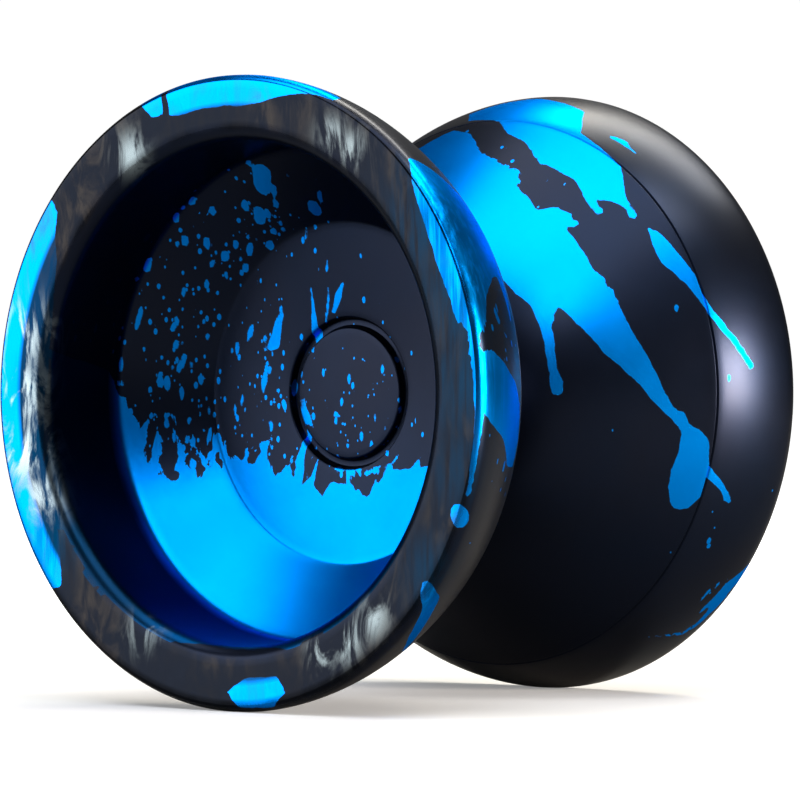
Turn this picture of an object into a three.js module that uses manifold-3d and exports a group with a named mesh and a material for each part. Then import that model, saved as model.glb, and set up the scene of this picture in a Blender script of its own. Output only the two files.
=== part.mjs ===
// A take-apart metal yo-yo. Two turned aluminium halves screw onto a headless axle screw and clamp
// the inner race of a small ball bearing between their hubs. The string's loop sits on the outer race,
// so the halves keep spinning while the string stands still. A soft ring in each half grips the string.
//
// Millimetres. The spin axis is +Y, the middle of the string gap is y = 0 and +Z is up. The front half
// opens its cup towards -Y, the rear half towards +Y. The yo-yo stands on its two rims.

import * as THREE from "three";
import { mergeVertices } from "three/addons/utils/BufferGeometryUtils.js";
import Module from "manifold-3d";

// ---- Driving dimensions ----

const RIM_RADIUS = 28; // half of the largest diameter
const HALF_WIDTH = 23.5; // middle of the gap to a rim's outer face
const GAP_HALF = 2.15; // middle of the gap to the flat wall beside the bearing

const BEARING = { bore: 3.175, outer: 6.35, halfWidth: 2.38, balls: 10, ballRadius: 0.992 };
const PITCH_RADIUS = (BEARING.bore + BEARING.outer) / 2; // circle through the ball centres

const AXLE = { radius: 2, halfLength: 5, chamfer: 0.35, socketFlats: 2, socketDepth: 1.8 };
const PAD = { inner: 7.2, outer: 9.5, depth: 1, clearance: 0.05 };

// Facets round the axis.
const HALF_FACETS = 48;
const BEARING_FACETS = 30; // a whole number between balls
const AXLE_FACETS = 24;

// ---- Finishes ----

const finish = (color, roughness, metalness) => new THREE.MeshStandardMaterial({ color, roughness, metalness });
const ANODISED = finish(0x1b191d, 0.35, 0.6);
const SILICONE = finish(0x1f6fb5, 0.8, 0);
const BEARING_STEEL = finish(0xc9ccd0, 0.2, 1);
const AXLE_STEEL = finish(0x2c2c2e, 0.4, 1);
const CAGE_STEEL = finish(0xb3a98f, 0.35, 1);

// ---- Profile helpers: a profile is a list of [radius, y] points ----

const point = (radius, y) => new THREE.Vector2(radius, y);

// Points on an arc about (radius, y), from one angle to another in degrees; 0 points away from the axis
// and 90 along +Y.
function arc(radius, y, size, from, to, steps) {
  return Array.from({ length: steps + 1 }, (_, i) => {
    const angle = THREE.MathUtils.degToRad(from + ((to - from) * i) / steps);
    return point(radius + size * Math.cos(angle), y + size * Math.sin(angle));
  });
}

// Solids of revolution about Y. The profile runs anticlockwise as seen with the radius to the right and
// y up, which turns its faces outwards. A bar's profile starts and ends on the axis.
const turnedBar = (profile, facets, start = 0) => new THREE.LatheGeometry(profile, facets, start);
const turnedRing = (profile, facets) => new THREE.LatheGeometry([...profile, profile[0]], facets);

const mirrored = (profile) => profile.map((p) => point(p.x, -p.y)).reverse();

// The outline of something that is the same on both sides of y = 0, from its +Y side.
const bothSides = (upper) => [...mirrored(upper), ...upper];

function mesh(name, geometry, material) {
  const made = new THREE.Mesh(geometry, material);
  made.name = name;
  return made;
}

// ---- Cuts, through manifold-3d ----

const wasm = await Module();
wasm.setup();

function solidOf(geometry, matrix = new THREE.Matrix4()) {
  const bare = new THREE.BufferGeometry();
  bare.setAttribute("position", geometry.getAttribute("position").clone());
  bare.setIndex(geometry.index);
  const merged = mergeVertices(bare.applyMatrix4(matrix), 1e-4);
  return new wasm.Manifold(
    new wasm.Mesh({
      numProp: 3,
      vertProperties: merged.getAttribute("position").array,
      triVerts: new Uint32Array(merged.index.array),
    }),
  );
}

function geometryOf(solid) {
  const { vertProperties, triVerts } = solid.getMesh();
  const made = new THREE.BufferGeometry();
  made.setAttribute("position", new THREE.BufferAttribute(vertProperties, 3));
  made.setIndex(new THREE.BufferAttribute(triVerts, 1));
  made.computeVertexNormals();
  return made;
}

// ---- Halves ----

// One half, as the rear one: its hub is at y > 0 and its cup opens towards +Y.
function halfGeometry() {
  const hub = {
    postRadius: BEARING.bore - 0.025, // a slide fit in the inner race
    postTip: 0.15, // the two posts don't meet
    shoulderRadius: 4, // bears on the inner race only
    shoulderY: BEARING.halfWidth + 0.01,
    recessRadius: BEARING.outer + 0.15, // clear of the outer race, which turns
    recessY: BEARING.halfWidth + 0.24,
    wallEnd: PAD.outer + 0.3,
  };
  const thread = { radius: AXLE.radius + 0.05, end: AXLE.halfLength + 0.35, tip: 6, tipRadius: 1 };
  const crease = { radius: 25.45, y: 14.6 }; // where the catch zone meets the rim band
  const band = { widestY: 22.9, power: 1.8, steps: 4 };
  const face = { outer: 27, inner: 24, bevel: 0.3 }; // the polished rim face
  const wall = { mouthRadius: 22.25, mouthY: 22.3, lipRound: 1, floorRadius: 22.15, floorY: 13.4 };
  const cone = { radius: 15.45, y: 7.8 }; // foot of the cone inside the cup
  const button = { groove: 6.85, radius: 5.9, grooveY: 6.35, y: 7.05 };

  const hole = [point(0, thread.tip), point(thread.tipRadius, thread.tip), point(thread.radius, thread.end)];
  const post = [
    point(thread.radius, hub.postTip + 0.3),
    point(thread.radius + 0.3, hub.postTip), // countersunk mouth of the thread
    point(hub.postRadius - 0.25, hub.postTip),
    point(hub.postRadius, hub.postTip + 0.3),
    point(hub.postRadius, hub.shoulderY),
    point(hub.shoulderRadius, hub.shoulderY),
    point(hub.shoulderRadius + 0.1, hub.recessY),
    point(hub.recessRadius, hub.recessY),
    point(hub.recessRadius, GAP_HALF),
  ];
  const padGroove = [
    point(PAD.inner, GAP_HALF),
    point(PAD.inner, GAP_HALF + PAD.depth),
    point(PAD.outer, GAP_HALF + PAD.depth),
    point(PAD.outer, GAP_HALF),
  ];
  // The catch zone swells towards the gap: flat beside the pad, 45 degrees by the crease.
  const catchZone = new THREE.CubicBezierCurve(
    point(hub.wallEnd, GAP_HALF),
    point(14.2, 3.1),
    point(19.6, 8.4),
    point(crease.radius, crease.y),
  ).getPoints(6);
  const rimBand = Array.from({ length: band.steps }, (_, i) => {
    const y = THREE.MathUtils.lerp(crease.y, band.widestY, (i + 1) / band.steps);
    const share = (band.widestY - y) / (band.widestY - crease.y);
    return point(RIM_RADIUS - (RIM_RADIUS - crease.radius) * share ** band.power, y);
  });
  const rimFace = [
    point(RIM_RADIUS - face.bevel, HALF_WIDTH - face.bevel),
    point(face.outer, HALF_WIDTH),
    point(face.inner, HALF_WIDTH),
    ...arc(wall.mouthRadius + wall.lipRound, wall.mouthY, wall.lipRound, 90, 180, 3),
  ];
  const cup = [
    point(wall.floorRadius, wall.floorY),
    point(cone.radius, cone.y),
    point(button.groove, button.y + 0.05),
    point(button.groove - 0.2, button.grooveY),
    point(button.radius + 0.2, button.grooveY),
    point(button.radius, button.y),
    point(0, button.y),
  ];
  const profile = [...hole, ...post, ...padGroove, ...catchZone, ...rimBand, ...rimFace, ...cup];
  const flatDown = Math.PI / HALF_FACETS; // the yo-yo stands on a facet, not on a corner
  return turnedBar(profile, HALF_FACETS, flatDown);
}

function padGeometry() {
  const inner = PAD.inner + PAD.clearance;
  const outer = PAD.outer - PAD.clearance;
  const low = GAP_HALF + 0.08; // a little below the wall of the gap
  const high = GAP_HALF + PAD.depth - 0.03;
  const soft = 0.15;
  return turnedRing(
    [point(inner, low + soft), point(inner + soft, low), point(outer - soft, low), point(outer, low + soft),
      point(outer, high), point(inner, high)],
    HALF_FACETS,
  );
}

// ---- Axle: a headless screw with a hexagon socket in its rear end. The thread is drawn at its full diameter ----

function axleGeometry() {
  const { radius, halfLength, chamfer, socketFlats, socketDepth } = AXLE;
  const end = [point(radius, halfLength - chamfer), point(radius - chamfer, halfLength), point(0, halfLength)];
  const rod = solidOf(turnedBar(bothSides(end), AXLE_FACETS));
  const overshoot = 1;
  const across = socketFlats / Math.sqrt(3);
  const hexagon = new THREE.CylinderGeometry(across, across, socketDepth + overshoot, 6);
  hexagon.translate(0, halfLength + (overshoot - socketDepth) / 2, 0);
  return geometryOf(rod.subtract(solidOf(hexagon)));
}

// ---- Bearing ----

const RACEWAY_RADIUS = BEARING.ballRadius * 1.04; // a groove is a little wider than its ball
const RUNNING = 0.02; // ball to groove
const LAND = { inner: 4.1, outer: 5.4 }; // the races' faces on either side of their grooves
const SHIELD = { inner: 4.25, outer: 5.93, y: 1.8, thickness: 0.18 };
const SNAP_RING = { inner: 5.6, outer: 6.04, y: 2.04, thickness: 0.2, opening: 34 };
const EDGE = 0.15; // chamfers on the races

function innerRaceGeometry() {
  const centre = PITCH_RADIUS - BEARING.ballRadius - RUNNING + RACEWAY_RADIUS;
  const edgeAngle = THREE.MathUtils.radToDeg(Math.acos((centre - LAND.inner) / RACEWAY_RADIUS));
  const side = BEARING.halfWidth;
  const outside = [
    point(LAND.inner - EDGE, -side),
    point(LAND.inner, EDGE - side),
    ...arc(centre, 0, RACEWAY_RADIUS, 180 + edgeAngle, 180 - edgeAngle, 6),
    point(LAND.inner, side - EDGE),
    point(LAND.inner - EDGE, side),
  ];
  const inside = [
    point(BEARING.bore + EDGE, side),
    point(BEARING.bore, side - EDGE),
    point(BEARING.bore, EDGE - side),
    point(BEARING.bore + EDGE, -side),
  ];
  return turnedRing([...outside, ...inside], BEARING_FACETS);
}

function outerRaceGeometry() {
  const centre = PITCH_RADIUS + BEARING.ballRadius + RUNNING + 0.025 - RACEWAY_RADIUS;
  const edgeAngle = THREE.MathUtils.radToDeg(Math.acos((LAND.outer - centre) / RACEWAY_RADIUS));
  const side = BEARING.halfWidth;
  const dish = { halfWidth: 1.95, depth: 0.22 }; // the string centres itself in a shallow dish
  const dishRadius = (dish.halfWidth ** 2 + dish.depth ** 2) / (2 * dish.depth);
  const dishCentre = BEARING.outer - dish.depth + dishRadius;
  const dishAngle = THREE.MathUtils.radToDeg(Math.asin(dish.halfWidth / dishRadius));
  const seat = SHIELD.outer + 0.05; // the shield drops in past this
  const slot = SNAP_RING.outer + 0.06; // the snap ring springs out into this
  // From the raceway out to the +Y face.
  const seatSide = [
    point(LAND.outer, SHIELD.y - 0.02),
    point(seat, SHIELD.y - 0.02),
    point(seat, SNAP_RING.y - 0.03),
    point(slot, SNAP_RING.y - 0.03),
    point(slot, SNAP_RING.y + SNAP_RING.thickness + 0.03),
    point(seat, SNAP_RING.y + SNAP_RING.thickness + 0.03),
    point(seat, side),
    point(BEARING.outer - EDGE, side),
    point(BEARING.outer, side - EDGE),
  ];
  const raceway = arc(centre, 0, RACEWAY_RADIUS, -edgeAngle, edgeAngle, 6);
  const outside = arc(dishCentre, 0, dishRadius, 180 + dishAngle, 180 - dishAngle, 4);
  // Anticlockwise: up the outside, in over the +Y side, down the raceway, out over the -Y side.
  return turnedRing(
    [...outside, ...seatSide.slice().reverse(), ...raceway.slice().reverse(), ...mirrored(seatSide).reverse()],
    BEARING_FACETS,
  );
}

const ballAngle = (index) => (2 * Math.PI * index) / BEARING.balls;
const ballCentre = (index) =>
  new THREE.Vector3(PITCH_RADIUS * Math.cos(ballAngle(index)), 0, PITCH_RADIUS * Math.sin(ballAngle(index)));

// A crown: one ring on the front side of the balls, with horns that reach between them and hold them.
function cageGeometry() {
  const ring = { inner: 4.45, outer: 5.02, back: -1.35, horns: 0.65, pocket: BEARING.ballRadius + 0.1 };
  const outline = [point(ring.inner, ring.back), point(ring.outer, ring.back), point(ring.outer, ring.horns),
    point(ring.inner, ring.horns)];
  let crown = solidOf(turnedRing(outline, BEARING_FACETS));
  const pocket = new THREE.SphereGeometry(ring.pocket, 12, 8);
  for (let i = 0; i < BEARING.balls; i += 1) {
    crown = crown.subtract(solidOf(pocket, new THREE.Matrix4().setPosition(ballCentre(i))));
  }
  return geometryOf(crown);
}

// A stamped disc with its inner edge turned in towards the balls.
function shieldGeometry() {
  const { inner, outer, y, thickness } = SHIELD;
  const curl = 0.3;
  return turnedRing(
    [point(inner, y - curl), point(inner + thickness, y - curl), point(inner + thickness + 0.1, y),
      point(outer, y), point(outer, y + thickness), point(inner + 0.1, y + thickness), point(inner, y + 0.05)],
    BEARING_FACETS,
  );
}

// A flat spring ring with an opening, lying across the axis.
function snapRingGeometry() {
  const { inner, outer, y, thickness, opening } = SNAP_RING;
  const start = THREE.MathUtils.degToRad(90 + opening / 2);
  const end = THREE.MathUtils.degToRad(450 - opening / 2);
  const outline = new THREE.Shape()
    .absarc(0, 0, outer, start, end, false)
    .absarc(0, 0, inner, end, start, true)
    .closePath();
  const ring = new THREE.ExtrudeGeometry(outline, { depth: thickness, bevelEnabled: false, curveSegments: 14 });
  return ring.rotateX(-Math.PI / 2).translate(0, y, 0);
}

// ---- Assembly ----

const yoyo = new THREE.Group();

// Rear pieces are built where they lie; a front piece is the same one turned half round about Z.
function bothEnds(name, geometry, material) {
  const rear = mesh(`rear_${name}`, geometry, material);
  const front = mesh(`front_${name}`, geometry, material);
  front.rotation.z = Math.PI;
  yoyo.add(front, rear);
}

bothEnds("half", halfGeometry(), ANODISED);
bothEnds("pad", padGeometry(), SILICONE);
yoyo.add(mesh("axle", axleGeometry(), AXLE_STEEL));

yoyo.add(mesh("bearing_inner_race", innerRaceGeometry(), BEARING_STEEL));
yoyo.add(mesh("bearing_outer_race", outerRaceGeometry(), BEARING_STEEL));
bothEnds("shield", shieldGeometry(), BEARING_STEEL);
bothEnds("snap_ring", snapRingGeometry(), BEARING_STEEL);
yoyo.add(mesh("ball_cage", cageGeometry(), CAGE_STEEL));

const ballGeometry = new THREE.SphereGeometry(BEARING.ballRadius, 10, 8);
for (let i = 0; i < BEARING.balls; i += 1) {
  const ball = mesh(`ball_${String(i + 1).padStart(2, "0")}`, ballGeometry, BEARING_STEEL);
  ball.position.copy(ballCentre(i));
  yoyo.add(ball);
}

export default yoyo;
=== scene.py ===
# A take-apart metal yo-yo standing on its two rims. The spin axis is +Y, the middle of the string gap is at
# y = 0 and +Z is up. Sizes in the sections below are in millimetres and are turned into metres as a mesh is made.

import math
import random

import bmesh
import bpy
import numpy as np
from mathutils import Matrix, Vector, noise


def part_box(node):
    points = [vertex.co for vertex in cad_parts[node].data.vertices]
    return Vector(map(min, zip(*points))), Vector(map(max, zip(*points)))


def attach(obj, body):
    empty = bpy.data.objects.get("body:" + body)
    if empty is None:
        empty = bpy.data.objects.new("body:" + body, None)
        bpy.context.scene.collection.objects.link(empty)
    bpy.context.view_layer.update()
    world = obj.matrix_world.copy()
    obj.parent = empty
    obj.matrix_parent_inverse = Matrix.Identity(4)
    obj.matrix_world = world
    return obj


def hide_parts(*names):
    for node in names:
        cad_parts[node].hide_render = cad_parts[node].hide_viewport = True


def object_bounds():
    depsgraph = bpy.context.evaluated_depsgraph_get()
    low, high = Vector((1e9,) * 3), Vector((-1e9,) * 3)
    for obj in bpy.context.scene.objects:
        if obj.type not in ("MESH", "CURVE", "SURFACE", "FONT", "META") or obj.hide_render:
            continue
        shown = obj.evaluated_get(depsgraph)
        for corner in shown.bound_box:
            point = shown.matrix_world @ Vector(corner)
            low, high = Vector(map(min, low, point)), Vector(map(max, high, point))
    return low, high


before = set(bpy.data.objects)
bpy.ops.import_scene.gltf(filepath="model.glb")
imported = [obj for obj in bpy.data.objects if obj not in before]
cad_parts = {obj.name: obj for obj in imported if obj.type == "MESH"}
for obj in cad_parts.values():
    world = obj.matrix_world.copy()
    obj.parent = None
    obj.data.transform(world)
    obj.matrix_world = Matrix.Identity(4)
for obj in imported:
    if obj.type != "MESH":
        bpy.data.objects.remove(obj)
cad_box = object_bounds()

MM = 0.001

# ---- Camera ----
# A long lens at the height of the axle, looking into the front half's cup from 39 degrees to one side.

VIEW_AZIMUTH = math.radians(38.9)
VIEW_ELEVATION = math.radians(0.16)
VIEW_DISTANCE = 461.6 * MM

camera = bpy.data.objects.new("camera", bpy.data.cameras.new("camera"))
bpy.context.collection.objects.link(camera)
camera.data.lens = 227.5
camera.data.shift_x = 0.003
camera.data.shift_y = -0.009
camera.data.clip_start = 0.01
camera.location = VIEW_DISTANCE * Vector(
    (
        math.sin(VIEW_AZIMUTH) * math.cos(VIEW_ELEVATION),
        -math.cos(VIEW_AZIMUTH) * math.cos(VIEW_ELEVATION),
        math.sin(VIEW_ELEVATION),
    )
)
camera.rotation_euler = (math.pi / 2 - VIEW_ELEVATION, 0, VIEW_AZIMUTH)
bpy.context.scene.camera = camera
bpy.context.scene.view_settings.view_transform = "Standard"

# ---- The turned halves ----
# Two aluminium shells, each turned from bar in one piece: cup and button on the outside, flared catch zone on the
# string's side, and a hub with a threaded blind hole. They are blasted, anodised blue, splashed with resist and
# anodised black. The rim faces are polished before they are anodised.

RIM_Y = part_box("rear_half")[1].y / MM
GAP_WALL_Y = 2.15
RIM_RADIUS = 28
AROUND = 384  # steps round the axis, fine enough to carry the edges of the splashes
ALONG = 0.58  # the same, along the outline


def rounded(corners, turn=12):
    """An outline through (radius, y, fillet) corners. Each is rounded with its fillet, in steps of turn degrees."""
    points = []
    for i, (radius, y, fillet) in enumerate(corners):
        here = Vector((radius, y))
        if not fillet:
            points.append(here)
            continue
        before = Vector(corners[i - 1][:2]) - here
        after = Vector(corners[(i + 1) % len(corners)][:2]) - here
        opening = before.angle(after)
        reach = fillet / math.tan(opening / 2)
        reach = min(reach, 0.48 * before.length, 0.48 * after.length)
        start = here + before.normalized() * reach
        end = here + after.normalized() * reach
        steps = max(2, round(math.degrees(math.pi - opening) / turn))
        middle = here + (before.normalized() + after.normalized()).normalized() * reach / math.cos(opening / 2)
        spoke, last = start - middle, end - middle
        swing = spoke.angle_signed(last)
        points += [middle + Matrix.Rotation(-swing * k / steps, 2) @ spoke for k in range(steps + 1)]
    return points


def spaced(points, step, closed=False):
    """The same outline with no stretch longer than step."""
    result = []
    ends = points[1:] + (points[:1] if closed else [])
    for start, end in zip(points, ends):
        count = max(1, math.ceil((end - start).length / step))
        result += [start.lerp(end, k / count) for k in range(count)]
    return result if closed else result + [points[-1]]


def spun(name, outline, around, ring, mirror=False):
    """A solid of revolution about Y. The outline runs clockwise, with the radius to the right and y up."""
    rows = outline if ring else outline[1:-1]
    radius = np.array([p.x for p in rows])
    height = np.array([p.y for p in rows]) * (-1 if mirror else 1)
    clock = np.arange(around) * 2 * math.pi / around
    grid = np.stack(
        [
            np.outer(radius, np.sin(clock)),
            np.outer(height, np.ones(around)),
            np.outer(radius, np.cos(clock)),
        ],
        axis=-1,
    ).reshape(-1, 3)
    count = len(rows)
    low = np.arange(count if ring else count - 1)
    high = (low + 1) % count
    side = np.arange(around)
    following = (side + 1) % around
    faces = np.stack(
        [
            (low[:, None] * around + side),
            (low[:, None] * around + following),
            (high[:, None] * around + following),
            (high[:, None] * around + side),
        ],
        axis=-1,
    ).reshape(-1, 4).tolist()
    if not ring:
        first, last = len(grid), len(grid) + 1
        flip = -1 if mirror else 1
        grid = np.vstack([grid, [0, outline[0].y * flip, 0], [0, outline[-1].y * flip, 0]])
        faces += [[first, following[k], side[k]] for k in range(around)]
        end_row = (count - 1) * around
        faces += [[last, end_row + side[k], end_row + following[k]] for k in range(around)]
    if not mirror:
        faces = [face[::-1] for face in faces]
    mesh = bpy.data.meshes.new(name)
    mesh.from_pydata((grid * MM).tolist(), [], faces)
    mesh.shade_smooth()
    piece = bpy.data.objects.new(name, mesh)
    bpy.context.collection.objects.link(piece)
    return piece


def smooth_normals(piece):
    """Keeps flat faces flat beside their rounded edges."""
    piece.modifiers.new("normals", "WEIGHTED_NORMAL")


def half_outline():
    """From the middle of the button, out over the cup and the rim, in over the catch zone to the thread."""
    cup = [
        (0, 7.05, 0),
        (5.9, 7.05, 0.18),
        (6.1, 6.35, 0.15),
        (6.68, 6.35, 0.15),
        (6.88, 7.12, 0.18),
        (15.45, 7.8, 0.5),
        (22.15, 13.4, 0.9),
        (22.25, 23.2, 1.3),
        (27.6, RIM_Y, 0.45),
        (27.95, 22.9, 0),
    ]
    crease_radius, crease_y, widest_y = 25.45, 14.6, 22.9
    band = []
    for k in range(1, 16):
        share = k / 16
        radius = RIM_RADIUS - (RIM_RADIUS - crease_radius) * share**1.8
        band.append((radius, widest_y + (crease_y - widest_y) * share, 0))
    crease = [
        (crease_radius + 0.03, crease_y + 0.1, 0.05),
        (crease_radius - 0.24, crease_y + 0.02, 0.04),
        (crease_radius - 0.08, crease_y - 0.1, 0.05),
    ]
    start, end = Vector((crease_radius, crease_y)), Vector((9.8, GAP_WALL_Y))
    pulls = Vector((19.6, 8.4)), Vector((14.2, 3.1))
    flare = []
    for k in range(1, 25):
        t = k / 24
        point = (1 - t) ** 3 * start + 3 * t * (1 - t) ** 2 * pulls[0]
        point += 3 * t * t * (1 - t) * pulls[1] + t**3 * end
        flare.append((point.x, point.y, 0))
    pad_groove = [
        (9.5, GAP_WALL_Y, 0.08),
        (9.5, GAP_WALL_Y + 1, 0.08),
        (7.2, GAP_WALL_Y + 1, 0.08),
        (7.2, GAP_WALL_Y, 0.08),
    ]
    hub = [
        (6.5, GAP_WALL_Y, 0.08),
        (6.5, 2.62, 0.08),
        (4.1, 2.62, 0.05),
        (4.0, 2.39, 0.05),
        (3.15, 2.39, 0.05),
        (3.15, 0.15, 0.2),
        (2.3, 0.15, 0.05),
        (2.05, 0.4, 0),
    ]
    thread = []
    for k in range(6):
        thread += [(2.22, 0.85 + 0.7 * k, 0), (2.05, 1.1 + 0.7 * k, 0)]
    hole = [(2.05, 5.35, 0), (1.0, 6.0, 0), (0, 6.0, 0)]
    return rounded(cup + band + crease + flare) + rounded(pad_groove + hub + thread + hole, turn=45)


def make_half(name, mirror):
    outline = half_outline()
    cup_to_gap = next(i for i, p in enumerate(outline) if p.y < GAP_WALL_Y + 0.001)
    fine = spaced(outline[: cup_to_gap + 1], ALONG)
    coarse = outline[cup_to_gap + 1 :]
    outline = fine + coarse
    piece = spun(name, outline, AROUND, ring=False, mirror=mirror)
    smooth_normals(piece)
    return piece, outline


# Where a splash lies is said by its clock angle, in degrees from the top towards +X, and by its distance from the
# middle of the button along the surface, over the cup's floor, cone and wall, the rim and the band.
CUP_FLOOR_END, RIM_START, BAND_START, CREASE_AT, GAP_AT = 16.6, 35.5, 40.3, 49.3, 69.5


def surface_places(piece, outline):
    """Each vertex's clock angle, distance from the button and radius."""
    steps = [0.0]
    for start, end in zip(outline, outline[1:]):
        steps.append(steps[-1] + (end - start).length)
    steps = np.array(steps)
    rows = len(outline) - 2
    along = np.concatenate([np.repeat(steps[1:-1], AROUND), [steps[0], steps[-1]]])
    radius = np.concatenate([np.repeat([p.x for p in outline[1:-1]], AROUND), [0, 0]])
    clock = np.concatenate([np.tile(np.arange(AROUND) * 360 / AROUND, rows), [0, 0]])
    return clock, along, radius, steps


def cup(across, up):
    """Clock angle and distance from the button of a place in the cup, from its flattened-out plan."""
    return math.degrees(math.atan2(across, up)), math.hypot(across, up)


def in_plan(clock, along):
    return along * np.array([math.sin(math.radians(clock)), math.cos(math.radians(clock))])


class Splash:
    """Paint thrown on one half. Its depth is the distance in mm to the nearest edge, below 0 where it is blue."""

    def __init__(self, piece, outline, seed):
        self.piece = piece
        self.clock, self.along, self.radius, steps = surface_places(piece, outline)
        self.steps = steps
        self.radii = np.array([p.x for p in outline])
        self.wobble(seed)
        self.depth = np.full(len(self.clock), 20.0)
        self.layers = {name: np.zeros(len(self.clock)) for name in ("shower", "lace", "wash_and_painted_shade", "rubbed_and_painted_highlight", "painted_wall_shade")}

    def wobble(self, seed):
        """Liquid edges: the places where paint is looked up are shifted by two sizes of noise."""
        shift = np.zeros((len(self.clock), 2))
        places = np.zeros(len(self.clock) * 3)
        self.piece.data.vertices.foreach_get("co", places)
        for size, amount in ((4.5, 0.34), (1.5, 0.1)):
            for k, place in enumerate(places.reshape(-1, 3) / (MM * size)):
                drift = noise.noise_vector(Vector(place) + Vector((seed, 0, 0)))
                shift[k] += (drift.x * amount, drift.y * amount)
        self.clock = self.clock + np.degrees(shift[:, 0] / np.maximum(self.radius, 1.5))
        self.along = self.along + shift[:, 1]

    def reach(self, clock, along, limit):
        """Which vertices lie within limit of a place, and how far from it they are."""
        near = np.nonzero(np.abs(self.along - along) < limit)[0]
        turn = np.radians(self.clock[near] - clock) / 2
        radius = np.interp(along, self.steps, self.radii)
        across = 4 * self.radius[near] * radius * np.sin(turn) ** 2
        distance = np.sqrt(across + (self.along[near] - along) ** 2)
        close = distance < limit
        return near[close], distance[close]

    def walk(self, stroke):
        """Places close together along a stroke of (clock, along, half width) points."""
        for (c0, a0, w0), (c1, a1, w1) in zip(stroke, stroke[1:] or stroke):
            turn = (c1 - c0 + 180) % 360 - 180
            length = math.hypot(math.radians(turn) * np.interp((a0 + a1) / 2, self.steps, self.radii), a1 - a0)
            count = max(1, math.ceil(length / 0.3))
            for k in range(count + 1):
                t = k / count
                clock, along = c0 + turn * t, a0 + (a1 - a0) * t
                if max(a0, a1) < RIM_START:  # straight across the cup's plan
                    clock, along = cup(*(1 - t) * in_plan(c0, a0) + t * in_plan(c1, a1))
                yield clock, along, w0 + (w1 - w0) * t

    def add(self, shape, resist):
        if resist:
            self.depth = np.maximum(self.depth, -shape)
            return
        blend = np.maximum(0.25 - np.abs(self.depth - shape), 0)
        self.depth = np.minimum(self.depth, shape) - blend**2

    def pour(self, *strokes, resist=False):
        """Adds blue along each stroke, or with resist takes it away again."""
        for stroke in strokes:
            shape = np.full(len(self.clock), 20.0)
            for clock, along, width in self.walk(stroke):
                near, distance = self.reach(clock, along, width + 3)
                shape[near] = np.minimum(shape[near], distance - width)
            self.add(shape, resist)

    def fill(self, *corners, plan=False, resist=False):
        """Blue inside an outline of (clock, along) corners, or with plan of (across, up) ones in the cup."""
        corners = np.array(corners)
        if plan:
            turn = np.radians(self.clock)
            x, y = self.along * np.sin(turn), self.along * np.cos(turn)
            corner_x, corner_y = corners.T
        else:
            middle = corners[:, 0].mean()
            x, y = np.radians((self.clock - middle + 180) % 360 - 180) * self.radius, self.along
            corner_y = corners[:, 1]
            corner_x = np.radians(corners[:, 0] - middle) * np.interp(corner_y, self.steps, self.radii)
        inside = np.zeros(len(x), bool)
        nearest = np.full(len(x), 20.0)
        for k in range(len(corners)):
            x0, y0 = corner_x[k - 1] - x, corner_y[k - 1] - y
            x1, y1 = corner_x[k] - x, corner_y[k] - y
            run, rise = corner_x[k] - corner_x[k - 1], corner_y[k] - corner_y[k - 1]
            t = np.clip(-(x0 * run + y0 * rise) / (run * run + rise * rise), 0, 1)
            nearest = np.minimum(nearest, np.hypot(x0 + t * run, y0 + t * rise))
            if rise:
                inside ^= ((y0 > 0) != (y1 > 0)) & (x0 - y0 * run / rise > 0)
        shape = np.where(inside, -nearest, nearest)
        if plan:
            shape[self.along > RIM_START] = 20
        self.add(shape, resist)

    def spread(self, layer, clock, along, reach, strength):
        """Speckles (shower), torn edges (lace), thin teal dye that is painted shade in places (wash), or rubbed-off dye
        with painted highlights among it (bare), fading away from a place.
        """
        near, distance = self.reach(clock, along, 3 * reach)
        values = self.layers[layer]
        values[near] = np.maximum(values[near], strength * np.exp(-((distance / reach) ** 2)))

    def keep(self):
        polish = np.clip((self.along - RIM_START + 0.3) / 0.6, 0, 1) * np.clip((BAND_START - self.along) / 0.6, 0, 1)
        for name, values in (("splash", self.depth), ("polish", polish), *self.layers.items()):
            layer = self.piece.data.attributes.new(name, "FLOAT", "POINT")
            layer.data.foreach_set("value", values.astype(np.float32))


def nodes_of(material):
    """A fresh node tree, with a short way to add a node and to join two sockets."""
    material.use_nodes = True
    tree = material.node_tree
    tree.nodes.clear()

    def add(kind, **values):
        node = tree.nodes.new(kind)
        for key, value in values.items():
            if hasattr(node, key):
                setattr(node, key, value)
            else:
                node.inputs[key].default_value = value
        return node

    return tree, add, tree.links.new


def colour_mix(tree, add, link, factor, first, second, blend="MIX"):
    node = add("ShaderNodeMix", data_type="RGBA", blend_type=blend)
    link(factor, node.inputs["Factor"])
    for socket, value in ((node.inputs[6], first), (node.inputs[7], second)):
        if isinstance(value, tuple):
            socket.default_value = value
        else:
            link(value, socket)
    return node.outputs[2]


def number(tree, add, link, operation, *values):
    node = add("ShaderNodeMath", operation=operation)
    for socket, value in zip(node.inputs, values):
        if isinstance(value, (int, float)):
            socket.default_value = value
        else:
            link(value, socket)
    return node.outputs[0]


def ramp(add, link, value, low, high, bottom=0.0, top=1.0):
    node = add("ShaderNodeMapRange", interpolation_type="SMOOTHSTEP")
    for name, setting in (("From Min", low), ("From Max", high), ("To Min", bottom), ("To Max", top)):
        node.inputs[name].default_value = setting
    link(value, node.inputs["Value"])
    return node.outputs["Result"]


BLACK_DYE = (0.006, 0.014, 0.036, 1)
BLACK_DYE_WARM = (0.012, 0.014, 0.026, 1)
BLUE_DYE = (0.0, 0.3, 1.0, 1)
BLUE_DYE_DEEP = (0.0, 0.25, 0.97, 1)
# The deep navy of the painted shade on the cup's wall.
BLUE_IN_PAINTED_SHADE = (0.003, 0.022, 0.06, 1)


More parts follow.
